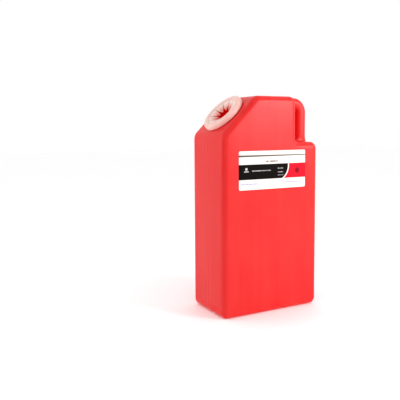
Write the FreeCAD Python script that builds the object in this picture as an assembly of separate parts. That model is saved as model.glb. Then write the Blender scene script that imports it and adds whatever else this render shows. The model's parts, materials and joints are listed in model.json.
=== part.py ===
import FreeCAD, Part
import math
import os

from FreeCAD import Vector

os.makedirs("parts", exist_ok=True)

# Sharps container: a blow-moulded bottle with a mouth on its cut-off upper corner
# and a grip beside the mouth's shoulder.  Millimetres, +Z up, front face at -Y,
# mouth at the upper -X corner, grip at +X.  The origin is the middle of the base.

# --- bottle ---------------------------------------------------------------
WIDTH = 231.5               # X, side to side where the sides belly out
DEPTH = 129.5               # Y, front to back where the faces belly out
HEIGHT = 438.0
SHOULDER_Z = 345.0          # ledge below the grip
FLANK_X = 59.5              # side of the upper part that faces the grip
MOUTH_CUT = 77.25           # leg of the 45 degree corner that carries the mouth
WALL = 2.0
EDGE_RADIUS = 11.5          # the long edges round the front and back faces
FOLD_RADIUS = 22.0          # where the left side turns into the slanted face
CORNER_RADIUS = 14.0        # the other corners seen from the front
LEDGE_RADIUS = 8.0          # inside corner between ledge and flank

# --- foot of the bottle ---------------------------------------------------
FOOT_RIM = 20.0             # width of the rim that touches the floor
PUSH_UP = 3.0               # how far the middle of the base is raised
PUSH_UP_CORNER = 12.0
PUSH_UP_EDGE = 2.4          # rounding where the raised middle meets the rim

# --- grip -----------------------------------------------------------------
GRIP_DEPTH = 54.0           # Y
BAR_WIDTH = 23.5            # X, the upright that the fingers close round
ARM_HEIGHT = 20.9           # Z, the arm above the finger opening
GRIP_CORNER = 31.0          # outer corner of arm and bar
GRIP_INNER_CORNER = 10.0
GRIP_EDGE = 9.0
GRIP_ROOT = 25.0            # how far arm and bar run on into the bottle
ARM_SET_DOWN = 0.6          # of its top from the bottle's top
BAR_SET_IN = 1.2            # of its outer face from the bottle's side
BAR_FOOT_FLARE = 8.0        # inside rounding where the bar stands on the ledge
ARM_FLARE = 4.0             # the same where the arm leaves the flank, outside only

# --- mouth, measured from the slanted face along the mouth's axis ----------
MOUTH_ALONG = 58.0          # mouth centre, up the slope from its lower corner
NECK_RADIUS = 38.0
NECK_BORE = 35.5
NECK_LIP = 7.0
SNAP_BEAD_Z = 4.0
SNAP_BEAD_RADIUS = 1.0
SEAL_BORE = 35.6
SEAL_THICKNESS = 0.8

# --- collar ---------------------------------------------------------------
COLLAR_RADIUS = 46.0
COLLAR_GAP = 0.5            # between the collar's rim and the slanted face
COLLAR_HEIGHT = 11.5
COLLAR_MOUTH = 33.0
COLLAR_CLEARANCE = 0.15     # round the neck and its bead
COLLAR_SIDE_TOP = 5.5       # where the straight outer side turns inwards
COLLAR_ROUNDING = (44.4, 9.6)       # radius and height of a point on that turn
COLLAR_CROWN = 41.0         # radius where the turn reaches the full height
COLLAR_CROWN_IN = (36.0, 11.2)      # radius and height of the crown's inner edge
COLLAR_LIP = (33.7, 10.6)   # radius and height of a point on the inner rounding

# --- petal insert ---------------------------------------------------------
PETALS = 10
HUB_RADIUS = 35.2
HUB_BOTTOM = 6.6
HUB_TOP = 9.6
FLANGE_RADIUS = 37.9
FLANGE_THICKNESS = 1.2
HUB_APOTHEM = 31.6          # the hub's opening is a regular polygon
HINGE_APOTHEM = 31.2        # hinge lines run along its sides, just inside them
HINGE_Z = 8.1
HINGE_BEAD = 1.0
HINGE_CLEARANCE = 0.06
HINGE_HALF = 8.3            # half the length of a petal's hinge bead
GROOVE_END_GAP = 0.3        # between a bead's end and its groove's end
FIRST_PETAL_TURN = -10.0    # degrees from the up-slope direction
PETAL_THICKNESS = 1.0
PETAL_SLOPE = 20.0          # degrees below the hub at rest
PETAL_TIP_RADIUS = 15.0     # of the hole that the petals leave
PETAL_TIP_HALF = 3.25       # half the width where the tip's rounding starts
PETAL_TIP_LENGTH = 2.6      # of that rounding
PETAL_NECK = 2.4            # how far in the petal has left its hinge's width
SLIT = 1.2

# --- label ----------------------------------------------------------------
LABEL_WIDTH = 161.5
LABEL_HEIGHT = 76.5
LABEL_CENTRE_X = 0.0
LABEL_CENTRE_Z = 291.2
LABEL_THICKNESS = 0.2
LABEL_CORNER = 3.0

# --- worked out from the sizes above --------------------------------------
HALF_W = WIDTH / 2
HALF_D = DEPTH / 2
ROOT2 = math.sqrt(2.0)
SLOPE_LOW = Vector(-HALF_W, 0, HEIGHT - MOUTH_CUT)
SLOPE_DIR = Vector(1, 0, 1).normalize()
MOUTH_AXIS = Vector(-1, 0, 1).normalize()
MOUTH_CENTRE = SLOPE_LOW + SLOPE_DIR * MOUTH_ALONG
FLANGE_BOTTOM = NECK_LIP + SEAL_THICKNESS
OVERCUT = 1.0               # how far a cutting shape runs past what it cuts


def rounded_outline(corners):
    """Closed wire through (point, radius) corners, each corner turned by an arc."""
    edges = []
    ends = []
    count = len(corners)
    for i, (point, radius) in enumerate(corners):
        back = (corners[i - 1][0] - point).normalize()
        ahead = (corners[(i + 1) % count][0] - point).normalize()
        half_angle = back.getAngle(ahead) / 2
        reach = radius / math.tan(half_angle)
        start = point + back * reach
        end = point + ahead * reach
        if radius > 0:
            inward = (back + ahead).normalize()
            middle = point + inward * (radius / math.sin(half_angle) - radius)
            edges.append(Part.Arc(start, middle, end).toShape())
        ends.append((start, end))
    for i in range(count):
        start = ends[i][1]
        end = ends[(i + 1) % count][0]
        if start.distanceToPoint(end) > 1e-6:
            edges.append(Part.LineSegment(start, end).toShape())
    return Part.Wire(Part.__sortEdges__(edges))


def slab(corners, half_depth):
    """Solid of an outline in the XZ plane, centred on Y."""
    face = Part.Face(rounded_outline(corners))
    face.translate(Vector(0, -half_depth, 0))
    return face.extrude(Vector(0, 2 * half_depth, 0))


def rim_edges(solid, half_depth):
    """Edges of a slab that lie in its front face and its back face."""
    found = []
    for edge in solid.Edges:
        box = edge.BoundBox
        if abs(box.YMin - box.YMax) < 1e-4 and abs(abs(box.YMin) - half_depth) < 1e-4:
            found.append(edge)
    return found


def plan_block(half_x, half_y, radius, low, high):
    """Upright block with rounded corners in plan."""
    block = Part.makeBox(2 * half_x, 2 * half_y, high - low, Vector(-half_x, -half_y, low))
    upright = [e for e in block.Edges if abs(e.BoundBox.ZLength - (high - low)) < 1e-4]
    return block.makeFillet(radius, upright)


def main_form(inset):
    """The bottle without its grip, with every face moved inwards by inset."""
    slope_shift = inset * (ROOT2 - 1)
    left = -HALF_W + inset
    right = HALF_W - inset
    top = HEIGHT - inset
    cut = MOUTH_CUT + slope_shift - inset
    corners = [
        (Vector(left, 0, inset), CORNER_RADIUS - inset),
        (Vector(right, 0, inset), CORNER_RADIUS - inset),
        (Vector(right, 0, SHOULDER_Z - inset), CORNER_RADIUS - inset),
        (Vector(FLANK_X - inset, 0, SHOULDER_Z - inset), LEDGE_RADIUS + inset),
        (Vector(FLANK_X - inset, 0, top), CORNER_RADIUS - inset),
        (Vector(left + cut, 0, top), FOLD_RADIUS - inset),
        (Vector(left, 0, top - cut), FOLD_RADIUS - inset),
    ]
    half_depth = HALF_D - inset
    form = slab(corners, half_depth)
    form = form.makeFillet(EDGE_RADIUS - inset, rim_edges(form, half_depth))
    pad = plan_block(
        HALF_W - FOOT_RIM + inset,
        HALF_D - FOOT_RIM + inset,
        PUSH_UP_CORNER + inset,
        -OVERCUT,
        PUSH_UP + inset,
    )
    upper = [e for e in pad.Edges if e.BoundBox.ZMin > PUSH_UP + inset - 1e-4]
    return form.cut(pad.makeFillet(PUSH_UP_EDGE, upper))


def grip_form(inset):
    """Arm and bar of the grip, with every face moved inwards by inset."""
    right = HALF_W - BAR_SET_IN - inset
    top = HEIGHT - ARM_SET_DOWN - inset
    bar_left = HALF_W - BAR_SET_IN - BAR_WIDTH + inset
    arm_bottom = HEIGHT - ARM_SET_DOWN - ARM_HEIGHT + inset
    low = SHOULDER_Z - GRIP_ROOT
    corners = [
        (Vector(FLANK_X - GRIP_ROOT, 0, top), 0),
        (Vector(right, 0, top), GRIP_CORNER - inset),
        (Vector(right, 0, low), 0),
        (Vector(bar_left, 0, low), 0),
        (Vector(bar_left, 0, arm_bottom), GRIP_INNER_CORNER + inset),
        (Vector(FLANK_X - GRIP_ROOT, 0, arm_bottom), 0),
    ]
    half_depth = GRIP_DEPTH / 2 - inset
    form = slab(corners, half_depth)
    return form.makeFillet(GRIP_EDGE - inset, rim_edges(form, half_depth))


def grip_root_edges(form, inset, on_flank):
    """Seams between grip and bottle, on the flank or on the ledge and its corner."""
    found = []
    for edge in form.Edges:
        box = edge.BoundBox
        in_grip = max(abs(box.YMin), abs(box.YMax)) < GRIP_DEPTH / 2 - inset + 1e-3
        flat_on_flank = abs(box.XMin - FLANK_X + inset) < 1e-3 and box.XLength < 1e-3
        past_bar = box.XMin > HALF_W - BAR_SET_IN - BAR_WIDTH + inset - 1e-3
        low = box.ZMax < SHOULDER_Z - inset + 1e-3
        if in_grip and (flat_on_flank if on_flank else past_bar and low):
            found.append(edge)
    return found


def bottle_form(inset):
    """Bottle and grip as one form, rounded where the bar and the arm leave it."""
    form = main_form(inset).fuse(grip_form(inset)).removeSplitter()
    form = form.makeFillet(BAR_FOOT_FLARE + inset, grip_root_edges(form, inset, False))
    if inset == 0:
        form = form.makeFillet(ARM_FLARE, grip_root_edges(form, inset, True))
    return form


def at_mouth(shape):
    """Carry a shape made round +Z at the origin to the mouth, +Z along its axis."""
    turn = FreeCAD.Rotation(Vector(0, 0, 1), MOUTH_AXIS)
    carried = shape.copy()
    carried.Placement = FreeCAD.Placement(MOUTH_CENTRE, turn).multiply(shape.Placement)
    return carried


def turned(points):
    """Solid of revolution about +Z from a closed (radius, height) outline."""
    outline = [Vector(r, 0, z) for r, z in points]
    face = Part.Face(Part.makePolygon(outline + outline[:1]))
    return face.revolve(Vector(0, 0, 0), Vector(0, 0, 1), 360)


def tube(outer, inner, low, high):
    return turned([(inner, low), (outer, low), (outer, high), (inner, high)])


def body_shell():
    """The moulded bottle: one skin, hollow right into the grip, with a short neck."""
    outer = bottle_form(0.0)
    neck = Part.makeCylinder(NECK_RADIUS, NECK_LIP + 2 * WALL, Vector(0, 0, -2 * WALL))
    bead = Part.makeTorus(NECK_RADIUS, SNAP_BEAD_RADIUS, Vector(0, 0, SNAP_BEAD_Z))
    bore = Part.makeCylinder(NECK_BORE, NECK_LIP + 8 * WALL, Vector(0, 0, -6 * WALL))
    solid = outer.fuse([at_mouth(neck), at_mouth(bead)])
    return solid.cut(bottle_form(WALL)).cut(at_mouth(bore))


def neck_seal():
    """Soft washer on the neck's lip, under the insert's flange."""
    return at_mouth(tube(NECK_RADIUS, SEAL_BORE, NECK_LIP, FLANGE_BOTTOM))


def collar():
    """Snap-on ring: it grips the neck's bead and holds the insert down."""
    bore = NECK_RADIUS + COLLAR_CLEARANCE

    def at(radius, height):
        return Vector(radius, 0, height)

    foot_in = at(bore, COLLAR_GAP)
    foot_out = at(COLLAR_RADIUS, COLLAR_GAP)
    side_top = at(COLLAR_RADIUS, COLLAR_SIDE_TOP)
    crown_out = at(COLLAR_CROWN, COLLAR_HEIGHT)
    crown_in = at(*COLLAR_CROWN_IN)
    lip_foot = at(COLLAR_MOUTH, HUB_TOP)
    seat = at(bore, HUB_TOP)
    profile = [
        Part.LineSegment(foot_in, foot_out),
        Part.LineSegment(foot_out, side_top),
        Part.Arc(side_top, at(*COLLAR_ROUNDING), crown_out),
        Part.LineSegment(crown_out, crown_in),
        Part.Arc(crown_in, at(*COLLAR_LIP), lip_foot),
        Part.LineSegment(lip_foot, seat),
        Part.LineSegment(seat, foot_in),
    ]
    face = Part.Face(Part.Wire([piece.toShape() for piece in profile]))
    ring = face.revolve(Vector(0, 0, 0), Vector(0, 0, 1), 360)
    groove = Part.makeTorus(
        NECK_RADIUS, SNAP_BEAD_RADIUS + COLLAR_CLEARANCE, Vector(0, 0, SNAP_BEAD_Z)
    )
    return at_mouth(ring.cut(groove))


def petal_turn(index):
    return FIRST_PETAL_TURN + 360.0 * index / PETALS


def hinge_rod(radius, half_length):
    """Cylinder along the hinge line of the petal on the +X side of the insert."""
    start = Vector(HINGE_APOTHEM, -half_length, HINGE_Z)
    return Part.makeCylinder(radius, 2 * half_length, start, Vector(0, 1, 0))


def round_mouth(shape, index):
    shape = shape.copy()
    shape.rotate(Vector(0, 0, 0), Vector(0, 0, 1), petal_turn(index))
    return shape


def insert_ring():
    """Hub and flange of the petal insert, with a groove for each petal's bead."""
    hub = Part.makeCylinder(HUB_RADIUS, HUB_TOP - HUB_BOTTOM, Vector(0, 0, HUB_BOTTOM))
    flange = Part.makeCylinder(FLANGE_RADIUS, FLANGE_THICKNESS, Vector(0, 0, FLANGE_BOTTOM))
    reach = HUB_APOTHEM / math.cos(math.pi / PETALS)
    angles = [math.radians(petal_turn(i + 0.5)) for i in range(PETALS + 1)]
    polygon = [Vector(reach * math.cos(a), reach * math.sin(a), 0) for a in angles]
    opening = Part.Face(Part.makePolygon(polygon)).extrude(Vector(0, 0, HUB_TOP + OVERCUT))
    groove = hinge_rod(HINGE_BEAD + HINGE_CLEARANCE, HINGE_HALF + GROOVE_END_GAP)
    grooves = [round_mouth(groove, i) for i in range(PETALS)]
    return at_mouth(hub.fuse(flange).cut([opening] + grooves).removeSplitter())


def petal(index):
    """One flap: a round hinge bead and a plate that narrows towards the mouth's axis."""
    length = (HINGE_APOTHEM - PETAL_TIP_RADIUS) / math.cos(math.radians(PETAL_SLOPE))
    half_sector = math.tan(math.pi / PETALS)
    widest = (HINGE_APOTHEM - PETAL_NECK) * half_sector - SLIT / 2
    sides = [(0.0, HINGE_HALF), (PETAL_NECK / 2, HINGE_HALF), (PETAL_NECK, widest)]
    sides += [(length - PETAL_TIP_LENGTH, PETAL_TIP_HALF)]
    lower = [Vector(-u, -w, 0) for u, w in sides]
    upper = [Vector(-u, w, 0) for u, w in reversed(sides)]
    edges = [Part.LineSegment(a, b).toShape() for a, b in zip(lower, lower[1:])]
    edges.append(Part.Arc(lower[-1], Vector(-length, 0, 0), upper[0]).toShape())
    edges += [Part.LineSegment(a, b).toShape() for a, b in zip(upper, upper[1:])]
    edges.append(Part.LineSegment(upper[-1], lower[0]).toShape())
    plate = Part.Face(Part.Wire(edges)).extrude(Vector(0, 0, PETAL_THICKNESS))
    plate.translate(Vector(0, 0, -PETAL_THICKNESS / 2))
    plate.rotate(Vector(0, 0, 0), Vector(0, 1, 0), -PETAL_SLOPE)
    plate.translate(Vector(HINGE_APOTHEM, 0, HINGE_Z))
    flap = plate.fuse(hinge_rod(HINGE_BEAD, HINGE_HALF)).removeSplitter()
    return at_mouth(round_mouth(flap, index))


def label():
    """Printed label, flat on the front face."""
    half_w = LABEL_WIDTH / 2
    half_h = LABEL_HEIGHT / 2
    signs = [(-1, -1), (1, -1), (1, 1), (-1, 1)]
    corners = [(Vector(sx * half_w, 0, sz * half_h), LABEL_CORNER) for sx, sz in signs]
    sheet = slab(corners, LABEL_THICKNESS / 2)
    sheet.translate(
        Vector(LABEL_CENTRE_X, -HALF_D - LABEL_THICKNESS / 2, LABEL_CENTRE_Z)
    )
    return sheet


nodes = {
    "body_shell": body_shell(),
    "neck_seal": neck_seal(),
    "collar": collar(),
    "insert_ring": insert_ring(),
    "front_label": label(),
}
for number in range(PETALS):
    nodes[f"petal_{number + 1:02d}"] = petal(number)

for name, shape in nodes.items():
    solids = shape.Solids
    piece = solids[0] if len(solids) == 1 else Part.makeCompound(solids)
    piece.exportStep(f"parts/{name}.step")
    print(f"{name}: {len(solids)} solid, {piece.Volume / 1000:.2f} cm3, valid {piece.isValid()}")

cavity = bottle_form(WALL).Volume / 1e6
print(f"inside volume {cavity:.2f} litres, {cavity / 3.785412:.2f} US gallons")
print("mouth centre", MOUTH_CENTRE, "axis", MOUTH_AXIS)
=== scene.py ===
import json
import math

import bmesh
import bpy
import numpy as np
from bpy.props import FloatProperty, FloatVectorProperty, PointerProperty
from mathutils import Matrix, Vector


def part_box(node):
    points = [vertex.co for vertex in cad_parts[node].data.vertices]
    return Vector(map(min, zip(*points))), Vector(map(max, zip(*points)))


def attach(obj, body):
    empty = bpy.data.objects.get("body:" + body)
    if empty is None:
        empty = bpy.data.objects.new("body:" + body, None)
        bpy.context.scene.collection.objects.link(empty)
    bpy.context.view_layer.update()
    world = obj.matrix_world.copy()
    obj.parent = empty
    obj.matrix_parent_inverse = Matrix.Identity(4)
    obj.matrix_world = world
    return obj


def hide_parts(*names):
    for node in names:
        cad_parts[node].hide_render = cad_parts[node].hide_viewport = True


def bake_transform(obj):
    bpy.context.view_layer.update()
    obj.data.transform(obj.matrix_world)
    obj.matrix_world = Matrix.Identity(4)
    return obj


bl_info = {
    "name": "Sharps container",
    "version": (1, 0, 0),
    "blender": (4, 5, 0),
    "location": "View3D > Sidebar > Sharps",
    "description": "Builds the looks of a corner-mouthed sharps container round its packed frame",
    "category": "Add Mesh",
}

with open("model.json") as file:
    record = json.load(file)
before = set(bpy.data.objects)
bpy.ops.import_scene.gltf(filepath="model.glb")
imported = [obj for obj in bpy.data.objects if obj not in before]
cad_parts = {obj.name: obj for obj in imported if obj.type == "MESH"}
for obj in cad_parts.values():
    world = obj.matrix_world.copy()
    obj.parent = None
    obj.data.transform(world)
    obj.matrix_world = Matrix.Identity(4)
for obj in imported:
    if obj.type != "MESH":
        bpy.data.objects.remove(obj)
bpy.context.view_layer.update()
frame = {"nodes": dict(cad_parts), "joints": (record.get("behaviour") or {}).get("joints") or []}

MM = 0.001
BOTTLE = "bottle"

# The mouth's own frame: its middle on the slanted face, up the slope, across, and out.
HINGES = {joint["child"]: joint for joint in frame["joints"]}
PETAL_NODES = sorted(HINGES)
MOUTH_UP = np.array([1.0, 0.0, 1.0]) / math.sqrt(2.0)
MOUTH_ACROSS = np.array([0.0, 1.0, 0.0])
MOUTH_OUT = np.array([-1.0, 0.0, 1.0]) / math.sqrt(2.0)
HINGE_MIDDLE = np.mean([HINGES[name]["pos_m"] for name in PETAL_NODES], axis=0)
HINGE_HEIGHT = 8.1 * MM     # of the hinge lines above the slanted face
MOUTH_MIDDLE = HINGE_MIDDLE - HINGE_HEIGHT * MOUTH_OUT


# ---------------------------------------------------------------------------
# Settings
# ---------------------------------------------------------------------------

def length(name, description, millimetres):
    return FloatProperty(
        name=name, description=description, default=millimetres * MM, unit="LENGTH", precision=5
    )


def colour(name, description, default):
    return FloatVectorProperty(
        name=name, description=description, default=default, size=4, min=0, max=1, subtype="COLOR"
    )


class BottleSettings(bpy.types.PropertyGroup):
    """Sizes of the blow-moulded bottle and its grip."""

    half_width: length("Half width", "From the middle to the side's edges", 115.0)
    half_depth: length("Half depth", "From the middle to the front face's edges", 64.0)
    height: length("Height", "From the floor to the top", 438.0)
    shoulder: length("Shoulder height", "Height of the ledge below the grip", 345.0)
    flank: length("Flank", "Where the upper part's side faces the grip", 59.5)
    mouth_cut: length("Mouth cut", "Leg of the slanted corner", 77.25)
    edge_radius: length("Edge radius", "Rounding of the long edges", 11.5)
    corner_radius: length("Corner radius", "Rounding of the corners seen from the front", 14.0)
    fold_radius: length("Fold radius", "Rounding at both ends of the slanted face", 22.0)
    ledge_radius: length("Ledge radius", "Inside rounding between ledge and flank", 8.0)
    face_belly: length("Face belly", "How far the front and back faces bow out", 0.7)
    side_belly: length("Side belly", "How far the narrow sides bow out", 0.5)
    push_up: length("Push-up", "How far the middle of the base is raised", 3.0)
    foot_rim: length("Foot rim", "Width of the rim that touches the floor", 20.0)
    seam: length("Mould seam", "Height of the parting line left by the mould", 0.22)
    wall: length("Wall", "Thickness of the plastic", 2.0)
    grip_top: length("Grip top", "Height of the arm's upper face", 437.4)
    grip_side: length("Grip side", "Outer face of the bar", 114.55)
    arm_height: length("Arm height", "Height of the arm", 20.9)
    bar_width: length("Bar width", "Width of the upright bar", 23.5)
    grip_half: length("Grip half depth", "Half the depth of arm and bar", 27.0)
    grip_edge: length("Grip edge radius", "Rounding of the grip's long edges", 9.0)
    grip_corner: length("Grip corner radius", "Outer corner between arm and bar", 31.0)
    red: colour("Red", "Colour of the plastic", (0.97, 0.026, 0.022, 1.0))
    deep_red: colour("Deep red", "Where the plastic is thicker", (0.94, 0.010, 0.013, 1.0))


class MouthSettings(bpy.types.PropertyGroup):
    """Sizes of the neck, collar and petals, measured along the mouth's axis."""

    neck_radius: length("Neck radius", "Outside of the neck", 38.0)
    neck_lip: length("Neck lip", "Height of the neck's lip above the slanted face", 7.0)
    bead: length("Snap bead", "How far the snap bead stands out", 1.0)
    bead_height: length("Snap bead height", "Height of the snap bead", 4.0)
    collar_radius: length("Collar radius", "Outside of the collar", 46.0)
    collar_mouth: length("Collar mouth", "Radius of the collar's opening", 33.0)
    collar_height: length("Collar height", "Top of the collar", 11.5)
    collar_gap: length("Collar gap", "Between the collar's foot and the slanted face", 0.5)
    hub: length("Hub", "Distance of the hub's sides from the axis", 31.6)
    tip: length("Petal tip", "Distance of the petals' tips from the axis", 13.6)
    petal_sheet: length("Petal thickness", "Thickness of a petal", 0.9)
    slit: length("Slit", "Gap between two petals at their roots", 1.0)
    slope: FloatProperty(
        name="Petal slope",
        description="How steeply the petals lean into the mouth",
        default=math.radians(20.0),
        subtype="ANGLE",
    )
    collar_colour: colour("Collar colour", "Milky plastic", (0.78, 0.52, 0.46, 1.0))
    petal_colour: colour("Petal colour", "Thin milky plastic at the root", (0.88, 0.66, 0.60, 1.0))
    # The tip's red is painted light: red from inside the bottle showing through the thin plastic.
    petal_tip_painted_red: colour("Petal tip", "Where red shows through", (0.74, 0.22, 0.18, 1.0))


class LabelSettings(bpy.types.PropertyGroup):
    """The printed label."""

    sheet: length("Sheet thickness", "Thickness of the label", 0.12)
    corner: length("Corner radius", "Rounding of the label's corners", 3.0)
    paper: colour("Paper", "Unprinted label", (0.80, 0.76, 0.72, 1.0))
    rule: colour("Rule", "Thin line near the top", (0.12, 0.09, 0.07, 1.0))
    band: colour("Band", "Dark band", (0.004, 0.002, 0.002, 1.0))
    block: colour("Block", "Crimson block", (0.60, 0.008, 0.022, 1.0))
    small_print: colour("Small print", "Faint bars near the bottom", (0.36, 0.32, 0.52, 1.0))


class StageSettings(bpy.types.PropertyGroup):
    """Camera, floor and light."""

    camera_place: FloatVectorProperty(
        name="Camera place",
        description="Where the camera stands",
        default=(-0.6461, -0.9618, 0.3724),
        subtype="TRANSLATION",
    )
    camera_turn: FloatProperty(
        name="Camera turn",
        description="How far the camera is turned from looking straight at the front",
        default=math.radians(28.15),
        subtype="ANGLE",
    )
    camera_tilt: FloatProperty(
        name="Camera tilt",
        description="How far the camera looks down",
        default=math.radians(4.5),
        subtype="ANGLE",
    )
    camera_roll: FloatProperty(
        name="Camera roll",
        description="Lean of the picture",
        default=math.radians(-0.354),
        subtype="ANGLE",
    )
    lens: FloatProperty(
        name="Lens", description="Focal length", default=49.42, subtype="DISTANCE_CAMERA"
    )
    shift: FloatProperty(
        name="Shift", description="Drop of the frame below the camera's axis", default=-0.0687
    )
    world_light: FloatProperty(
        name="Surrounding light", description="Brightness of the white studio", default=1.0, min=0
    )


# ---------------------------------------------------------------------------
# Shader expressions
# ---------------------------------------------------------------------------

class Wire:
    """A socket in a node tree; arithmetic on it adds the Math nodes that work it out."""

    def __init__(self, tree, socket):
        self.tree = tree
        self.socket = socket

    def maths(self, operation, *values):
        made = self.tree.add("ShaderNodeMath", {"operation": operation}, dict(enumerate(values)))
        return made.out(0)

    def __add__(self, other):
        return self.maths("ADD", self, other)

    def __radd__(self, other):
        return self.maths("ADD", other, self)

    def __sub__(self, other):
        return self.maths("SUBTRACT", self, other)

    def __rsub__(self, other):
        return self.maths("SUBTRACT", other, self)

    def __mul__(self, other):
        return self.maths("MULTIPLY", self, other)

    def __rmul__(self, other):
        return self.maths("MULTIPLY", other, self)

    def __truediv__(self, other):
        return self.maths("DIVIDE", self, other)

    def __rtruediv__(self, other):
        return self.maths("DIVIDE", other, self)

    def least(self, other):
        return self.maths("MINIMUM", self, other)

    def most(self, other):
        return self.maths("MAXIMUM", self, other)

    def size(self):
        return self.maths("ABSOLUTE", self)

    def root(self):
        return self.maths("SQRT", self)

    def sine(self):
        return self.maths("SINE", self)

    def clamped(self):
        return self.least(1.0).most(0.0)

    def step_up(self, start, end):
        """0 before start, 1 after end, and an even rise between them."""
        return ((self - start) / (end - start)).clamped()


class Node:
    """A made node, whose outputs are read as wires."""

    def __init__(self, tree, node):
        self.tree = tree
        self.node = node

    def out(self, key):
        return Wire(self.tree, self.node.outputs[key])


class Finish:
    """A material under construction: add() makes every node but the arithmetic."""

    def __init__(self, name):
        self.material = bpy.data.materials.new(name)
        self.material.use_nodes = True
        self.nodes = self.material.node_tree.nodes
        self.links = self.material.node_tree.links
        self.nodes.clear()

    def add(self, kind, settings=None, inputs=None):
        """A node of a type, with its settings set first and then its sockets' values or wires."""
        node = self.nodes.new(kind)
        for key, value in (settings or {}).items():
            setattr(node, key, value)
        for key, value in (inputs or {}).items():
            if isinstance(value, Wire):
                self.links.new(value.socket, node.inputs[key])
            else:
                node.inputs[key].default_value = value
        return Node(self, node)

    def place(self, scale=(1.0, 1.0, 1.0), middle=(0.0, 0.0, 0.0)):
        """Object coordinates, moved so that middle is the zero and then scaled."""
        source = self.add("ShaderNodeTexCoord").out("Object")
        moved = self.add(
            "ShaderNodeVectorMath", {"operation": "SUBTRACT"}, {0: source, 1: tuple(middle)}
        ).out(0)
        return self.add(
            "ShaderNodeVectorMath", {"operation": "MULTIPLY"}, {0: moved, 1: tuple(scale)}
        ).out(0)

    def split(self, vector):
        parts = self.add("ShaderNodeSeparateXYZ", None, {0: vector})
        return parts.out(0), parts.out(1), parts.out(2)

    def noise(self, vector, scale=1.0, detail=2.0, roughness=0.5):
        """Noise from 0 to 1 whose grain is one unit of vector over scale."""
        inputs = {"Vector": vector, "Scale": scale, "Detail": detail, "Roughness": roughness}
        return self.add("ShaderNodeTexNoise", None, inputs).out(0)

    def mix(self, share, first, second):
        """Colour that goes from first to second as share goes from 0 to 1."""
        inputs = {0: share, 6: first, 7: second}
        return self.add("ShaderNodeMix", {"data_type": "RGBA"}, inputs).out(2)

    def bump(self, height, distance, strength=1.0, normal=None):
        inputs = {"Height": height, "Distance": distance, "Strength": strength}
        if normal is not None:
            inputs["Normal"] = normal
        return self.add("ShaderNodeBump", None, inputs).out("Normal")

    def surface(self, inputs):
        """Ends the material in one Principled shader."""
        shader = self.add("ShaderNodeBsdfPrincipled", None, inputs)
        self.add("ShaderNodeOutputMaterial", None, {"Surface": shader.out(0)})
        return self.material


def bottle_finish(bottle):
    """Blow-moulded polyethylene: satin, with faint upright draw lines and cloudy thick spots."""
    f = Finish("bottle_red")
    streaks = f.noise(f.place((420.0, 420.0, 5.0)), 1.0, 3.0, 0.6)
    bands = f.noise(f.place((70.0, 70.0, 2.5)), 1.0, 2.0)
    clouds = f.noise(f.place((14.0, 14.0, 9.0)), 1.0, 2.0)
    grain = f.noise(f.place(), 1500.0, 3.0, 0.6)
    dimples = f.noise(f.place(), 160.0, 2.0)
    depth = (0.30 * streaks + 0.35 * bands + 0.35 * clouds).step_up(0.36, 0.64)
    rough = 0.28 + 0.08 * streaks + 0.05 * clouds
    relief = 0.05 * streaks + 0.25 * dimples + 0.05 * grain
    return f.surface({
        "Base Color": f.mix(depth, tuple(bottle.red), tuple(bottle.deep_red)),
        "Roughness": rough,
        "Normal": f.bump(relief, 0.0004, 0.35),
        "Subsurface Weight": 0.6,
        "Subsurface Radius": (1.0, 0.10, 0.07),
        "Subsurface Scale": 0.020,
        "Specular IOR Level": 0.18,
        "IOR": 1.50,
    })


def mouth_radius(f):
    """Distance from the mouth's axis in millimetres."""
    here = f.place((1.0, 1.0, 1.0), MOUTH_MIDDLE)

    def along(direction):
        inputs = {0: here, 1: tuple(direction)}
        return f.add("ShaderNodeVectorMath", {"operation": "DOT_PRODUCT"}, inputs).out(1)

    up = along(MOUTH_UP) * 1000.0
    across = along(MOUTH_ACROSS) * 1000.0
    return (up * up + across * across).root()


def collar_finish(mouth):
    """Milky polypropylene: a soft sheen, cloudy colour and very fine turning rings."""
    f = Finish("collar_white")
    radius = mouth_radius(f)
    clouds = f.noise(f.place((60.0, 60.0, 60.0)), 1.0, 3.0)
    grain = f.noise(f.place(), 900.0, 3.0)
    rings = (radius * 4.2).sine()
    warm = tuple(mouth.collar_colour)
    blush = (warm[0], warm[1] * 0.86, warm[2] * 0.86, 1.0)
    return f.surface({
        "Base Color": f.mix(clouds.step_up(0.3, 0.7), warm, blush),
        "Roughness": 0.40 + 0.12 * clouds,
        "Normal": f.bump(0.12 * grain + 0.02 * rings, 0.0004, 0.4),
        "Subsurface Weight": 0.35,
        "Subsurface Radius": (1.0, 0.7, 0.6),
        "Subsurface Scale": 0.004,
        "IOR": 1.49,
    })


def petal_finish(mouth):
    """Thin milky polyethylene: paler at the root and pinker where it thins to the tip, the pink
    being painted light, red from inside the bottle shining through.
    """
    f = Finish("petal_white")
    radius = mouth_radius(f)
    clouds = f.noise(f.place((90.0, 90.0, 90.0)), 1.0, 2.0)
    grain = f.noise(f.place(), 1200.0, 2.0)
    ribs = (radius * 2.4).sine()
    # Painted light: pale root to red tip by distance from the mouth's axis, standing in for the
    # bottle's red light seen through the thin petals.
    share = (radius + 5.0 * clouds).step_up(33.5, 20.0)
    return f.surface({
        "Base Color": f.mix(share, tuple(mouth.petal_colour), tuple(mouth.petal_tip_painted_red)),
        "Roughness": 0.42 + 0.12 * clouds,
        "Normal": f.bump(0.15 * grain + 0.05 * ribs, 0.0004, 0.4),
        "Subsurface Weight": 0.35,
        "Subsurface Radius": (1.0, 0.45, 0.4),
        "Subsurface Scale": 0.003,
        "IOR": 1.50,
    })


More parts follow.
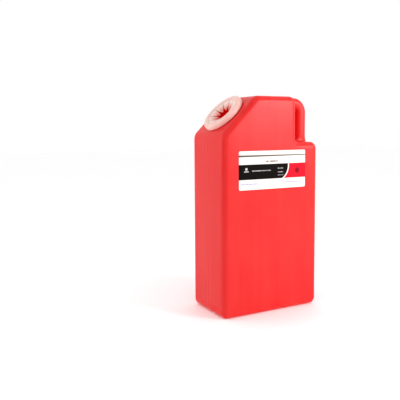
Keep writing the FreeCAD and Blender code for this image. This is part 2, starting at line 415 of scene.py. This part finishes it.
def seal_finish():
    """Soft grey foam rubber with open pores."""
    f = Finish("seal_grey")
    pores = f.add("ShaderNodeTexVoronoi", None, {"Vector": f.place(), "Scale": 2200.0}).out(0)
    tone = f.noise(f.place(), 300.0, 2.0)
    return f.surface({
        "Base Color": f.mix(tone, (0.40, 0.41, 0.42, 1.0), (0.58, 0.59, 0.60, 1.0)),
        "Roughness": 0.85 + 0.1 * tone,
        "Normal": f.bump(pores, 0.0002, 0.5),
    })


# ---------------------------------------------------------------------------
# Surfaces
# ---------------------------------------------------------------------------

def quads(index, close_rows=False, close_columns=False):
    """Four-cornered faces between neighbours in a grid of point numbers."""
    if close_rows:
        index = np.vstack([index, index[:1]])
    if close_columns:
        index = np.hstack([index, index[:, :1]])
    corners = [index[:-1, :-1], index[1:, :-1], index[1:, 1:], index[:-1, 1:]]
    return np.stack(corners, axis=-1).reshape(-1, 4)


def smooth_step(value):
    """0 below 0, 1 above 1, and 3v^2 - 2v^3 between them."""
    v = np.clip(value, 0.0, 1.0)
    return v * v * (3.0 - 2.0 * v)


def make_piece(name, patches, material, turn_faces=True):
    """One mesh from (points, faces) patches, welded where they meet, with faces outwards."""
    points = np.concatenate([p.reshape(-1, 3) for p, _ in patches])
    starts = np.cumsum([0] + [p.reshape(-1, 3).shape[0] for p, _ in patches[:-1]])
    faces = np.concatenate([f + start for (_, f), start in zip(patches, starts)])
    mesh = bpy.data.meshes.new(name)
    mesh.from_pydata(points.tolist(), [], faces.tolist())
    made = bmesh.new()
    made.from_mesh(mesh)
    unused = [v for v in made.verts if not v.link_faces]
    bmesh.ops.delete(made, geom=unused, context="VERTS")
    bmesh.ops.remove_doubles(made, verts=made.verts, dist=2e-6)
    bmesh.ops.dissolve_degenerate(made, edges=made.edges, dist=1e-7)
    if turn_faces:
        bmesh.ops.recalc_face_normals(made, faces=made.faces)
    made.to_mesh(mesh)
    made.free()
    mesh.polygons.foreach_set("use_smooth", np.ones(len(mesh.polygons), bool))
    mesh.materials.append(material)
    piece = bpy.data.objects.new(name, mesh)
    bpy.context.scene.collection.objects.link(piece)
    return piece


def add_wall(piece, thickness):
    """Gives an open skin its thickness, inwards."""
    wall = piece.modifiers.new("wall", "SOLIDIFY")
    wall.thickness = thickness
    wall.offset = -1.0
    wall.use_quality_normals = True


def unit(vectors):
    return vectors / np.maximum(np.linalg.norm(vectors, axis=-1, keepdims=True), 1e-12)


def bridge(start, start_way, end, end_way, rows, pull=1.0):
    """Cubic Hermite patch between two loops of points.

    At share t of the way a point is h00 start + h10 m0 + h01 end + h11 m1, where m0 and m1 are
    the unit ways off each loop times pull times the distance between the paired points."""
    t = np.linspace(0.0, 1.0, rows + 1)[:, None, None]
    reach = pull * np.linalg.norm(end - start, axis=-1, keepdims=True)
    m0 = unit(start_way) * reach
    m1 = unit(end_way) * reach
    h00 = 2 * t**3 - 3 * t**2 + 1
    h10 = t**3 - 2 * t**2 + t
    h01 = -2 * t**3 + 3 * t**2
    h11 = t**3 - t**2
    points = h00 * start + h10 * m0 + h01 * end + h11 * m1
    index = np.arange(points[..., 0].size).reshape(points.shape[:2])
    return points, quads(index, close_columns=True)


def rounded_outline(corners, step, arc_steps):
    """Points, outward normals and stretch names round a closed outline of (x, z, radius, name).

    Each corner is an arc of its radius that meets both its lines; the lines between are cut
    into even steps.  The outline runs anticlockwise seen from the front."""
    count = len(corners)
    spots = np.array([c[:2] for c in corners])
    points, normals, names = [], [], []
    arcs = []
    for i, (_, _, radius, _) in enumerate(corners):
        back = unit(spots[i - 1] - spots[i])
        ahead = unit(spots[(i + 1) % count] - spots[i])
        half = math.acos(float(np.clip(back @ ahead, -1, 1))) / 2
        start = spots[i] + back * radius / math.tan(half)
        end = spots[i] + ahead * radius / math.tan(half)
        middle = spots[i] + unit(back + ahead) * radius / math.sin(half)
        bend = np.sign(back[1] * ahead[0] - back[0] * ahead[1])
        arcs.append((start, end, middle, radius, bend))
    for i, (start, end, middle, radius, bend) in enumerate(arcs):
        a0 = math.atan2(*(start - middle)[::-1])
        a1 = math.atan2(*(end - middle)[::-1])
        sweep = (a1 - a0 + math.pi) % (2 * math.pi) - math.pi
        angles = a0 + sweep * np.arange(arc_steps) / arc_steps
        rays = np.stack([np.cos(angles), np.sin(angles)], axis=1)
        points.append(middle + radius * rays)
        normals.append(rays * bend)
        names += [corners[i][3]] * arc_steps
        after = arcs[(i + 1) % count][0]
        run = after - end
        steps = max(2, int(round(np.linalg.norm(run) / step)))
        shares = np.arange(steps)[:, None] / steps
        points.append(end + run * shares)
        way = unit(run)
        normals.append(np.tile([way[1], -way[0]], (steps, 1)))
        names += [corners[i][3] + "_after"] * steps
    return np.concatenate(points), np.concatenate(normals), np.array(names)


SIDE_CELLS = 28             # across the narrow sides, from front edge to back edge
SEAM_HALF = 0.7 * MM        # half the width of the mould's parting line
ARC_STEPS = 10
OUTLINE_STEP = 3.4 * MM
FACE_RINGS = 14
EDGE_STEPS = 8
GRIP_WINDOW = 8             # cells from the middle of a side to the edge of a grip root
MOUTH_WINDOW = 11           # cells from the middle of a side to the edge of the neck's root
ROOT_CELLS = 6              # of straight outline inside a grip root, beside its corner arc
FACE_MIDDLE_Z = 250.0 * MM
RIM_FADE = 8.0 * MM         # over how far the base rises from its rim
MOUTH_REACH = 41.0 * MM     # from the mouth's middle to the window round the neck
LIP_CHAMFER = 0.4 * MM      # at the top of the neck
GRIP_REACH = 7.0 * MM       # from the flank to where the arm's tube starts
BAR_FOOT = 13.0 * MM        # from the ledge to where the bar's tube ends
GRIP_INNER_RADIUS = 10.0 * MM


class Bottle:
    """The bottle's outer skin: a pillow grid with three windows, and the tubes that fill them."""

    def __init__(self, sizes, mouth):
        self.s = sizes
        self.mouth = mouth

    def belly(self, x, z):
        """Half depth at (x, z): a product of two downward parabolas on the edge's half depth."""
        s = self.s
        rise_x = 1 - (x / (s.half_width - s.edge_radius)) ** 2
        rise_z = 1 - ((2 * z - s.height) / (s.height - 2 * s.edge_radius)) ** 2
        return s.half_depth + s.face_belly * np.clip(rise_x, 0, 1) * np.clip(rise_z, 0, 1)

    def outline(self):
        s = self.s
        w, h = s.half_width, s.height
        corners = [
            (w, 0.0, s.corner_radius, "foot_right"),
            (w, s.shoulder, s.corner_radius, "shoulder"),
            (s.flank, s.shoulder, s.ledge_radius, "ledge"),
            (s.flank, h, s.corner_radius, "crest"),
            (-w + s.mouth_cut, h, s.fold_radius, "fold_high"),
            (-w, h - s.mouth_cut, s.fold_radius, "fold_low"),
            (-w, 0.0, s.corner_radius, "foot_left"),
        ]
        return rounded_outline(corners, OUTLINE_STEP, ARC_STEPS)

    def side_shares(self):
        """Places across a side from -1 to 1, with two more beside the parting line."""
        even = np.linspace(-1.0, 1.0, SIDE_CELLS + 1)
        near = SEAM_HALF / (self.s.half_depth - self.s.edge_radius)
        return np.sort(np.append(even, [-near, near]))

    def skin(self):
        """Point grid: rows round the outline, columns from the front's middle to the back's.

        On a face a point goes from the face's middle to the outline set in by the edge radius;
        over an edge it turns a quarter circle; across a side it bows out by the side's belly."""
        s = self.s
        outline, normal, names = self.outline()
        inset = outline - normal * s.edge_radius
        half = self.belly(inset[:, 0], inset[:, 1])
        middle = np.array([0.0, FACE_MIDDLE_Z])
        t = np.linspace(0.0, 1.0, FACE_RINGS + 1)[None, :, None]
        face = middle + (inset[:, None, :] - middle) * t
        face_y = -self.belly(face[..., 0], face[..., 1])
        turn = np.linspace(0.0, math.pi / 2, EDGE_STEPS + 1)[1:-1]
        edge = inset[:, None, :] + normal[:, None, :] * s.edge_radius * np.sin(turn)[None, :, None]
        edge_y = -(half[:, None] - s.edge_radius) - s.edge_radius * np.cos(turn)[None, :]
        q = self.side_shares()
        side_y = (half[:, None] - s.edge_radius) * q[None, :]
        upright = np.abs(normal[:, 0]) > 0.999
        span = np.where(normal[:, 0] > 0, s.shoulder, s.height - s.mouth_cut)
        on_side = upright & (np.abs(outline[:, 0]) > s.half_width - 1e-5)
        rise = np.where(on_side, np.sin(np.pi * np.clip(outline[:, 1] / span, 0, 1)), 0.0)
        bow = s.side_belly * rise[:, None] * (1 - q[None, :] ** 2)
        seam = s.seam * (np.abs(q) < 1e-9)
        side = outline[:, None, :] + normal[:, None, :] * (bow + seam[None, :])[..., None]
        side[..., 1] = np.maximum(side[..., 1], 0.0)
        flat = np.concatenate([face, edge, side, edge[:, ::-1], face[:, ::-1]], axis=1)
        y = np.concatenate([face_y, edge_y, side_y, -edge_y[:, ::-1], -face_y[:, ::-1]], axis=1)
        points = np.stack([flat[..., 0], y, flat[..., 1]], axis=-1)
        low_x = smooth_step((s.half_width - s.foot_rim - np.abs(points[..., 0])) / RIM_FADE)
        low_y = smooth_step((s.half_depth - s.foot_rim - np.abs(points[..., 1])) / RIM_FADE)
        on_base = points[..., 2] < 1e-6
        points[..., 2] += on_base * s.push_up * low_x * low_y
        return points, names

    def window(self, points, index, rows, half_cells):
        """Loop of points round a window in the grid, the ways off it inwards, and its cells.

        The loop starts at the first row on the front side and runs across to the back side."""
        centre = FACE_RINGS + EDGE_STEPS + (SIDE_CELLS + 2) // 2
        c, d = centre - half_cells - 1, centre + half_cells + 1
        a, b = rows

        inner = [index[a, c:d], index[a:b, d], index[b, d:c:-1], index[b:a:-1, c]]
        outer = [
            index[a - 1, c:d],
            index[a:b, d + 1],
            index[b + 1, d:c:-1],
            index[b:a:-1, c - 1],
        ]
        flat = points.reshape(-1, 3)
        loop = flat[np.concatenate(inner)]
        away = flat[np.concatenate(outer)]
        counts = np.cumsum([0] + [len(part) for part in inner])[:-1]
        corners = [(a - 1, c - 1), (a - 1, d + 1), (b + 1, d + 1), (b + 1, c - 1)]
        away[counts] = flat[[index[corner] for corner in corners]]
        return loop, loop - away, (slice(a, b), slice(c, d))

    def section(self):
        """A rounded rectangle as corner signs and rays, one entry per point of a grip loop.

        The loop has the window's count: half a corner arc at both ends of each of four sides."""
        across = 2 * GRIP_WINDOW + 2
        along = ARC_STEPS + ROOT_CELLS
        half_arc = 4

        def run(cells, seam):
            """Place along a flat from -1 to 1 and turn from -45 to 45 degrees, over one side."""
            flats = cells - 2 * half_arc
            place = np.linspace(-1, 1, flats + 1)
            if seam:
                near = SEAM_HALF / (self.s.grip_half - self.s.grip_edge)
                place = np.sort(np.append(np.linspace(-1, 1, flats - 1), [-near, near]))
            ends = np.ones(half_arc)
            turn = np.linspace(-45, 0, half_arc + 1)[:-1]
            places = np.concatenate([-ends, place, ends])
            turns = np.concatenate([turn, np.zeros(flats + 1), -turn[::-1]])
            return places[:-1], np.radians(turns[:-1])

        p, t = run(across, True)
        q, r = run(along, False)
        ones_p, ones_q = np.ones_like(p), np.ones_like(q)
        corner_a = np.concatenate([-ones_p, q, ones_p, -q])
        corner_y = np.concatenate([p, ones_q, -p, -ones_q])
        ray_a = np.concatenate([-np.cos(t), np.sin(r), np.cos(t), -np.sin(r)])
        ray_y = np.concatenate([np.sin(t), np.cos(r), -np.sin(t), -np.cos(r)])
        on_seam = (np.abs(corner_y) < 1e-9) & (np.abs(ray_y) < 1e-9)
        return corner_a, corner_y, ray_a, ray_y, on_seam

    def grip(self):
        """Tube of rounded-rectangle sections between the grip's inner and outer lines.

        Both lines run along the arm, turn a quarter circle and go down the bar."""
        s = self.s
        foot = s.shoulder + BAR_FOOT
        inner_x = s.grip_side - s.bar_width
        inner_z = s.grip_top - s.arm_height

        def line(x, z, radius):
            arm = np.linspace(s.flank + GRIP_REACH, x - radius, 6)[:-1]
            turn = np.linspace(math.pi / 2, 0, 17)
            bar = np.linspace(z - radius, foot, 14)[1:]
            xs = np.concatenate([arm, x - radius + radius * np.cos(turn), np.full(bar.shape, x)])
            zs = np.concatenate([np.full(arm.shape, z), z - radius + radius * np.sin(turn), bar])
            return np.stack([xs, zs], axis=1)

        outer = line(s.grip_side, s.grip_top, s.grip_corner)
        inner = line(inner_x, inner_z, GRIP_INNER_RADIUS)
        corner_a, corner_y, ray_a, ray_y, on_seam = self.section()
        middle = (outer + inner) / 2
        way = unit(outer - inner)[:, None, :]
        half = np.linalg.norm(outer - inner, axis=1)[:, None] / 2
        edge = s.grip_edge
        a = corner_a * (half - edge) + ray_a * (edge + s.seam * on_seam)
        y = corner_y * (s.grip_half - edge) + ray_y * edge + 0 * a
        flat = middle[:, None, :] + way * a[..., None]
        points = np.stack([flat[..., 0], y, flat[..., 1]], axis=-1)
        index = np.arange(y.size).reshape(y.shape)
        return points, quads(index, close_columns=True)

    def neck(self, loop):
        """From a window on the slanted face: flat to the neck's circle, then up its profile."""
        m = self.mouth
        local = loop - MOUTH_MIDDLE
        angle = np.arctan2(local @ MOUTH_ACROSS, local @ MOUTH_UP)
        r, b, h = m.neck_radius, m.bead, m.bead_height
        turn = np.linspace(-math.pi / 2, math.pi / 2, 7)
        radii = np.concatenate([[r], r + b * np.cos(turn), [r, r - LIP_CHAMFER]])
        top = [m.neck_lip - LIP_CHAMFER, m.neck_lip]
        heights = np.concatenate([[0.0], h + b * np.sin(turn), top])
        ring = np.cos(angle)[:, None] * MOUTH_UP + np.sin(angle)[:, None] * MOUTH_ACROSS
        tube = MOUTH_MIDDLE + radii[:, None, None] * ring + heights[:, None, None] * MOUTH_OUT
        shares = np.linspace(0.0, 1.0, 4)[:-1, None, None]
        flat = loop + (tube[0] - loop) * shares
        points = np.concatenate([flat, tube])
        index = np.arange(points[..., 0].size).reshape(points.shape[:2])
        return points, quads(index, close_columns=True)

    def patches(self):
        points, names = self.skin()
        index = np.arange(points[..., 0].size).reshape(points.shape[:2])
        keep = np.ones(points.shape[:2], bool)

        crest = np.flatnonzero(names == "crest")[[0, -1]]
        arm_rows = (crest[0] - ROOT_CELLS, crest[1] + 1)
        shoulder = np.flatnonzero(names == "shoulder")[[0, -1]]
        bar_rows = (shoulder[0], shoulder[1] + 1 + ROOT_CELLS)
        slant = np.flatnonzero(names == "fold_high_after")
        along = (points[slant, FACE_RINGS + EDGE_STEPS] - MOUTH_MIDDLE) @ MOUTH_UP
        near = slant[np.abs(along) < MOUTH_REACH]
        mouth_rows = (near[0], near[-1])

        grip_points, grip_faces = self.grip()
        made = [(grip_points, grip_faces)]
        loop, ways, cells = self.window(points, index, arm_rows, GRIP_WINDOW)
        keep[cells] = False
        start = grip_points[0]
        made.append(bridge(loop, ways, start, grip_points[1] - start, 10, 1.0))

        loop, ways, cells = self.window(points, index, bar_rows, GRIP_WINDOW)
        keep[cells] = False
        count = grip_points.shape[1]
        across, rise = 2 * GRIP_WINDOW + 2, ARC_STEPS + ROOT_CELLS
        order = (2 * across + rise - np.arange(count)) % count
        foot = grip_points[-1][order]
        made.append(bridge(loop, ways, foot, grip_points[-2][order] - foot, 10, 1.0))

        loop, _, cells = self.window(points, index, mouth_rows, MOUTH_WINDOW)
        keep[cells] = False
        made.append(self.neck(loop))

        closed = np.vstack([index, index[:1]])
        corners = [closed[:-1, :-1], closed[1:, :-1], closed[1:, 1:], closed[:-1, 1:]]
        faces = np.stack(corners, axis=-1)[keep[:, :-1]]
        return [(points, faces)] + made


def to_mouth(radius, angle, height):
    """Points at a radius and an angle round the mouth's axis and a height along it."""
    flat = np.cos(angle)[..., None] * MOUTH_UP + np.sin(angle)[..., None] * MOUTH_ACROSS
    return MOUTH_MIDDLE + radius[..., None] * flat + height[..., None] * MOUTH_OUT


def arc(middle, size, start, end, steps):
    """Elliptical arc of (radius, height) points between two angles in degrees."""
    turn = np.radians(np.linspace(start, end, steps + 1))
    return np.stack([middle[0] + size[0] * np.cos(turn), middle[1] + size[1] * np.sin(turn)], 1)


def collar_profile(m):
    """Closed outline of the snap-on ring: foot, plump outer side and crown, inner lip, groove."""
    bore = m.neck_radius + 0.15 * MM
    seat = 9.6 * MM             # the ledge that presses on the insert's flange
    crown = 40.0 * MM           # radius of the ring's highest line
    foot = 0.6 * MM             # rounding of the outer lower edge
    waist = 3.2 * MM
    turn = 5.2 * MM             # height where the outer side turns inwards
    groove_size = 1.15 * MM
    low = m.collar_gap
    outer_side = arc((m.collar_radius - foot, low + foot), (foot, foot), -90, 0, 4)
    side = np.array([[m.collar_radius, waist]])
    over = arc((crown, turn), (m.collar_radius - crown, m.collar_height - turn), 0, 90, 16)
    lip = arc((crown, seat), (m.collar_mouth - crown, m.collar_height - seat), 90, 0, 12)
    under = np.array([[m.collar_mouth + 0.3 * MM, seat], [bore, seat]])
    groove = arc((m.neck_radius, m.bead_height), (groove_size, groove_size), 82, -82, 8)
    groove[:, 0] = np.maximum(groove[:, 0], bore)
    inner_foot = np.array([[bore, low]])
    return np.concatenate([outer_side, side, over, lip[1:], under, groove, inner_foot])


def make_collar(m, material):
    """The profile carried round the mouth's axis."""
    profile = collar_profile(m)
    angle = np.linspace(0, 2 * math.pi, 145)[:-1]
    radius, turn = np.meshgrid(profile[:, 0], angle)
    height = np.tile(profile[:, 1], (angle.size, 1))
    points = to_mouth(radius, turn, height)
    index = np.arange(radius.size).reshape(radius.shape)
    return make_piece("collar_ring", [(points, quads(index, True, True))], material)


def make_petal(name, m, material):
    """One flap: it leaves the hub level, bows down to its slope and narrows to a rounded tip.

    Half its width is the sector's half width less half the slit, times a root of the distance
    to the tip; its height falls with the slope times a smoothed distance from the hinge."""
    hinge = HINGES[name]
    local = np.array(hinge["pos_m"]) - MOUTH_MIDDLE
    heading = math.atan2(local @ MOUTH_ACROSS, local @ MOUTH_UP)
    root = m.hub + 0.25 * MM
    s = np.linspace(0.0, 1.0, 25)[:, None]
    w = np.linspace(-1.0, 1.0, 13)[None, :]
    inward = root - (root - m.tip) * (1 - (1 - s) ** 1.35)
    sector = inward * math.tan(math.pi / len(PETAL_NODES))
    slit = m.slit * (1 + 1.6 * s)
    narrowing = np.sqrt(np.clip((inward - m.tip) / (7.0 * MM), 0, 1))
    half = (sector - slit / 2) * np.minimum(narrowing, 1.0)
    run = np.hypot(root - inward, 1.2 * MM) - 1.2 * MM
    droop = math.tan(m.slope) * run + 0.018 * run**2 / (5 * MM)
    height = HINGE_HEIGHT + 0.45 * MM - droop - 0.5 * MM * (w**2) * smooth_step(s * 2)
    side = half * w
    x = inward + 0 * w
    points = (
        MOUTH_MIDDLE
        + x[..., None] * (math.cos(heading) * MOUTH_UP + math.sin(heading) * MOUTH_ACROSS)
        + side[..., None] * (math.cos(heading) * MOUTH_ACROSS - math.sin(heading) * MOUTH_UP)
        + height[..., None] * MOUTH_OUT
    )
    index = np.arange(x.size).reshape(x.shape)
    petal = make_piece("flap_" + name[-2:], [(points, quads(index))], material, False)
    add_wall(petal, m.petal_sheet)
    start = np.array(hinge["pos_m"])
    toward = MOUTH_MIDDLE + HINGE_HEIGHT * MOUTH_OUT - start
    end = start + unit(toward) * 4.0 * MM
    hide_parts(name)
    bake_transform(petal)
    return petal


# ---------------------------------------------------------------------------
# Label
# ---------------------------------------------------------------------------

LABEL_LOW, LABEL_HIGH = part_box("front_label")
LABEL_SIZE = LABEL_HIGH - LABEL_LOW


def label_finish(label):
    """Print on film, laid out in millimetres from the label's lower left corner."""
    f = Finish("label_print")
    uv = f.add("ShaderNodeTexCoord").out("UV")
    u, v, _ = f.split(uv)
    x = u * (LABEL_SIZE.x / MM)
    z = v * (LABEL_SIZE.z / MM)
    soft = 0.25

    def inside(distance):
        """1 where a signed distance in millimetres is below zero, with a soft edge."""
        return distance.step_up(soft, -soft)

    def bar(low_x, high_x, low_z, high_z):
        across = (x - (low_x + high_x) / 2).size() - (high_x - low_x) / 2
        upward = (z - (low_z + high_z) / 2).size() - (high_z - low_z) / 2
        return inside(across.most(upward))

    def disc(at_x, at_z, radius):
        dx, dz = x - at_x, z - at_z
        return inside((dx * dx + dz * dz).root() - radius)

    def dashes(low_x, high_x, low_z, high_z, scale):
        """A bar broken up into short unreadable strokes."""
        spread = f.add("ShaderNodeCombineXYZ", None, {0: x * scale, 1: z * 0.01}).out(0)
        strokes = f.noise(spread, 1.0, 1.0).step_up(0.38, 0.46)
        return bar(low_x, high_x, low_z, high_z) * strokes

    paper = f.mix(f.noise(f.place(), 60.0, 2.0), tuple(label.paper), (0.78, 0.74, 0.70, 1.0))
    centre_x, centre_z, reach = 88.0, 46.0, 29.5
    from_centre = ((x - centre_x) * (x - centre_x) + (z - centre_z) * (z - centre_z)).root()
    low, high = 20.2, 50.0
    in_band = (z - (low + high) / 2).size() - (high - low) / 2
    round_end = (x - centre_x).least(from_centre - reach).most(x - centre_x - reach)
    band = inside(in_band.most(round_end))
    block = inside(in_band.most((reach + 2.6) - from_centre).most(centre_x + 8 - x))
    rule_half = 1.8 - 0.9 * u
    rule = inside((z - 66.6).size() - rule_half)
    layers = [
        (rule, tuple(label.rule)),
        (dashes(63.0, 93.0, 53.9, 56.6, 0.9), tuple(label.rule)),
        (band, tuple(label.band)),
        (block, tuple(label.block)),
        (disc(140.5, 35.0, 5.2) * 0.75, (0.16, 0.0, 0.01, 1.0)),
        (disc(17.3, 41.0, 2.7) * 0.85, (0.62, 0.60, 0.60, 1.0)),
        (bar(12.0, 22.6, 35.0, 37.2) * 0.7, (0.62, 0.60, 0.60, 1.0)),
        (dashes(30.5, 75.0, 36.2, 38.0, 0.8) * 0.7, (0.62, 0.58, 0.57, 1.0)),
        (dashes(92.0, 106.5, 39.5, 41.6, 1.3) * 0.6, (0.55, 0.53, 0.53, 1.0)),
        (dashes(92.0, 105.5, 32.0, 34.0, 1.2) * 0.6, (0.55, 0.53, 0.53, 1.0)),
        (dashes(92.0, 106.0, 26.2, 27.6, 1.1) * 0.5, (0.55, 0.53, 0.53, 1.0)),
        (dashes(4.0, 44.0, 10.2, 12.6, 0.7) * 0.9, tuple(label.small_print)),
        (dashes(110.0, 151.0, 10.6, 13.0, 0.7) * 0.9, tuple(label.small_print)),
    ]
    shade = paper
    for share, ink in layers:
        shade = f.mix(share, shade, ink)
    fibres = f.noise(f.place((300.0, 300.0, 300.0)), 1.0, 3.0)
    return f.surface({
        "Base Color": shade,
        "Roughness": 0.34 + 0.14 * fibres - 0.05 * band,
        "Normal": f.bump(0.3 * fibres, 0.0002, 0.3),
        "Specular IOR Level": 0.04,
        "IOR": 1.46,
    })


def make_label(bottle, label, material):
    """A sheet that follows the bellied front face; rows near top and bottom are cut to its arcs."""
    sizes = Bottle(bottle, None)
    half_w, half_h = LABEL_SIZE.x / 2, LABEL_SIZE.z / 2
    r = label.corner
    turn = np.radians(np.linspace(90, 0, 7))
    ends = half_h - r + r * np.sin(turn)
    flat = np.linspace(half_h - r, -half_h + r, 21)[1:-1]
    rows = np.concatenate([ends, flat, -ends[::-1]])
    cut = np.clip(np.abs(rows) - (half_h - r), 0, r)
    width = half_w - r + np.sqrt(np.maximum(r * r - cut * cut, 0.0))
    x = np.linspace(-1, 1, 41)[None, :] * width[:, None]
    z = rows[:, None] + 0 * x
    middle = (LABEL_LOW + LABEL_HIGH) / 2
    world_x, world_z = x + middle.x, z + middle.z
    y = -(sizes.belly(world_x, world_z) + label.sheet)
    points = np.stack([world_x, y, world_z], axis=-1)
    index = np.arange(x.size).reshape(x.shape)
    sheet = make_piece("label_sheet", [(points, quads(index))], material, False)
    place = np.zeros((len(sheet.data.vertices), 3))
    sheet.data.vertices.foreach_get("co", place.reshape(-1))
    corners = np.zeros(len(sheet.data.loops), int)
    sheet.data.loops.foreach_get("vertex_index", corners)
    uv = np.stack([
        (place[corners, 0] - LABEL_LOW.x) / LABEL_SIZE.x,
        (place[corners, 2] - LABEL_LOW.z) / LABEL_SIZE.z,
    ], axis=1)
    sheet.data.uv_layers.new(name="UVMap").uv.foreach_set("vector", uv.reshape(-1))
    add_wall(sheet, label.sheet)
    return sheet


# ---------------------------------------------------------------------------
# Stage
# ---------------------------------------------------------------------------

def floor_finish():
    f = Finish("floor_pale")
    tone = f.noise(f.place(), 6.0, 2.0)
    return f.surface({
        "Base Color": f.mix(tone, (0.985, 0.985, 0.985, 1.0), (1.0, 1.0, 1.0, 1.0)),
        "Roughness": 0.55 + 0.1 * tone,
        "Normal": f.bump(f.noise(f.place(), 400.0, 2.0), 0.0003, 0.1),
        "Specular IOR Level": 0.3,
    })


def add_light(name, place, target, size, power, tint=(1.0, 1.0, 1.0)):
    """A soft rectangular lamp at place, facing target."""
    lamp = bpy.data.lights.new(name, "AREA")
    lamp.shape = "RECTANGLE"
    lamp.size, lamp.size_y = size
    lamp.energy = power
    lamp.color = tint
    holder = bpy.data.objects.new(name, lamp)
    way = Vector(place) - Vector(target)
    aim = way.to_track_quat("Z", "Y").to_matrix().to_4x4()
    holder.matrix_world = Matrix.Translation(place) @ aim
    bpy.context.scene.collection.objects.link(holder)


# ---------------------------------------------------------------------------
# Operators
# ---------------------------------------------------------------------------

class SHARPS_OT_bottle(bpy.types.Operator):
    """Make the blow-moulded bottle with its neck and hollow grip"""

    bl_idname = "sharps.bottle"
    bl_label = "Bottle"

    def execute(self, context):
        scene = context.scene
        skin = Bottle(scene.sharps_bottle, scene.sharps_mouth)
        piece = make_piece("bottle_skin", skin.patches(), bottle_finish(scene.sharps_bottle))
        add_wall(piece, scene.sharps_bottle.wall)
        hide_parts("body_shell")
        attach(piece, BOTTLE)
        return {"FINISHED"}


class SHARPS_OT_collar(bpy.types.Operator):
    """Make the snap-on collar round the mouth and give the seal below it its finish"""

    bl_idname = "sharps.collar"
    bl_label = "Collar and seal"

    def execute(self, context):
        mouth = context.scene.sharps_mouth
        piece = make_collar(mouth, collar_finish(mouth))
        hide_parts("collar")
        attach(piece, BOTTLE)
        dress_node("neck_seal", seal_finish())
        return {"FINISHED"}


class SHARPS_OT_insert(bpy.types.Operator):
    """Make the petals and give their ring its finish"""

    bl_idname = "sharps.insert"
    bl_label = "Petal insert"

    def execute(self, context):
        mouth = context.scene.sharps_mouth
        material = petal_finish(mouth)
        dress_node("insert_ring", material)
        for name in PETAL_NODES:
            make_petal(name, mouth, material)
        return {"FINISHED"}


class SHARPS_OT_label(bpy.types.Operator):
    """Make the printed label on the front face"""

    bl_idname = "sharps.label"
    bl_label = "Label"

    def execute(self, context):
        scene = context.scene
        finish = label_finish(scene.sharps_label)
        piece = make_label(scene.sharps_bottle, scene.sharps_label, finish)
        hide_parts("front_label")
        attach(piece, BOTTLE)
        return {"FINISHED"}


class SHARPS_OT_stage(bpy.types.Operator):
    """Make the floor, the light and the camera"""

    bl_idname = "sharps.stage"
    bl_label = "Stage"

    def execute(self, context):
        scene = context.scene
        stage = scene.sharps_stage
        corners = np.array([[-1, -1, 0], [1, -1, 0], [1, 1, 0], [-1, 1, 0]]) * 8.0
        floor = make_piece("floor", [(corners, np.array([[0, 1, 2, 3]]))], floor_finish(), False)

        world = bpy.data.worlds.new("studio")
        world.use_nodes = True
        surround = world.node_tree.nodes["Background"]
        surround.inputs["Color"].default_value = (1.0, 1.0, 1.0, 1.0)
        surround.inputs["Strength"].default_value = stage.world_light
        scene.world = world
        scene.view_settings.view_transform = "Standard"

        add_light("key", (0.85, -1.20, 0.66), (0.0, 0.0, 0.40), (0.5, 0.5), 13.0)
        add_light("left_fill", (-1.3, 0.75, 0.6), (0.0, 0.0, 0.2), (0.7, 1.0), 5.0)

        lens = bpy.data.cameras.new("camera")
        lens.lens = stage.lens
        lens.sensor_width = 36.0
        lens.shift_y = stage.shift
        camera = bpy.data.objects.new("camera", lens)
        upright = Matrix.Rotation(math.pi / 2 - stage.camera_tilt, 4, "X")
        look = Matrix.Rotation(-stage.camera_turn, 4, "Z") @ upright
        roll = Matrix.Rotation(stage.camera_roll, 4, "Z")
        camera.matrix_world = Matrix.Translation(stage.camera_place) @ look @ roll
        scene.collection.objects.link(camera)
        scene.camera = camera
        return {"FINISHED"}


def dress_node(name, material):
    """Gives a carried-over part one finish."""
    node = frame["nodes"][name]
    node.data.materials.clear()
    node.data.materials.append(material)


class SHARPS_PT_panel(bpy.types.Panel):
    """Lists the pieces of the sharps container"""

    bl_idname = "SHARPS_PT_panel"
    bl_label = "Sharps container"
    bl_space_type = "VIEW_3D"
    bl_region_type = "UI"
    bl_category = "Sharps"

    def draw(self, context):
        for operator in OPERATORS:
            self.layout.operator(operator.bl_idname)


OPERATORS = (
    SHARPS_OT_bottle,
    SHARPS_OT_collar,
    SHARPS_OT_insert,
    SHARPS_OT_label,
    SHARPS_OT_stage,
)
SETTINGS = {
    "sharps_bottle": BottleSettings,
    "sharps_mouth": MouthSettings,
    "sharps_label": LabelSettings,
    "sharps_stage": StageSettings,
}


def register():
    for group in SETTINGS.values():
        bpy.utils.register_class(group)
    for name, group in SETTINGS.items():
        setattr(bpy.types.Scene, name, PointerProperty(type=group))
    for cls in (*OPERATORS, SHARPS_PT_panel):
        bpy.utils.register_class(cls)


def unregister():
    for cls in (SHARPS_PT_panel, *OPERATORS[::-1]):
        bpy.utils.unregister_class(cls)
    for name in SETTINGS:
        delattr(bpy.types.Scene, name)
    for group in SETTINGS.values():
        bpy.utils.unregister_class(group)


def main():
    register()
    bpy.ops.sharps.bottle()
    bpy.ops.sharps.collar()
    bpy.ops.sharps.insert()
    bpy.ops.sharps.label()
    bpy.ops.sharps.stage()


if __name__ == "__main__":
    main()
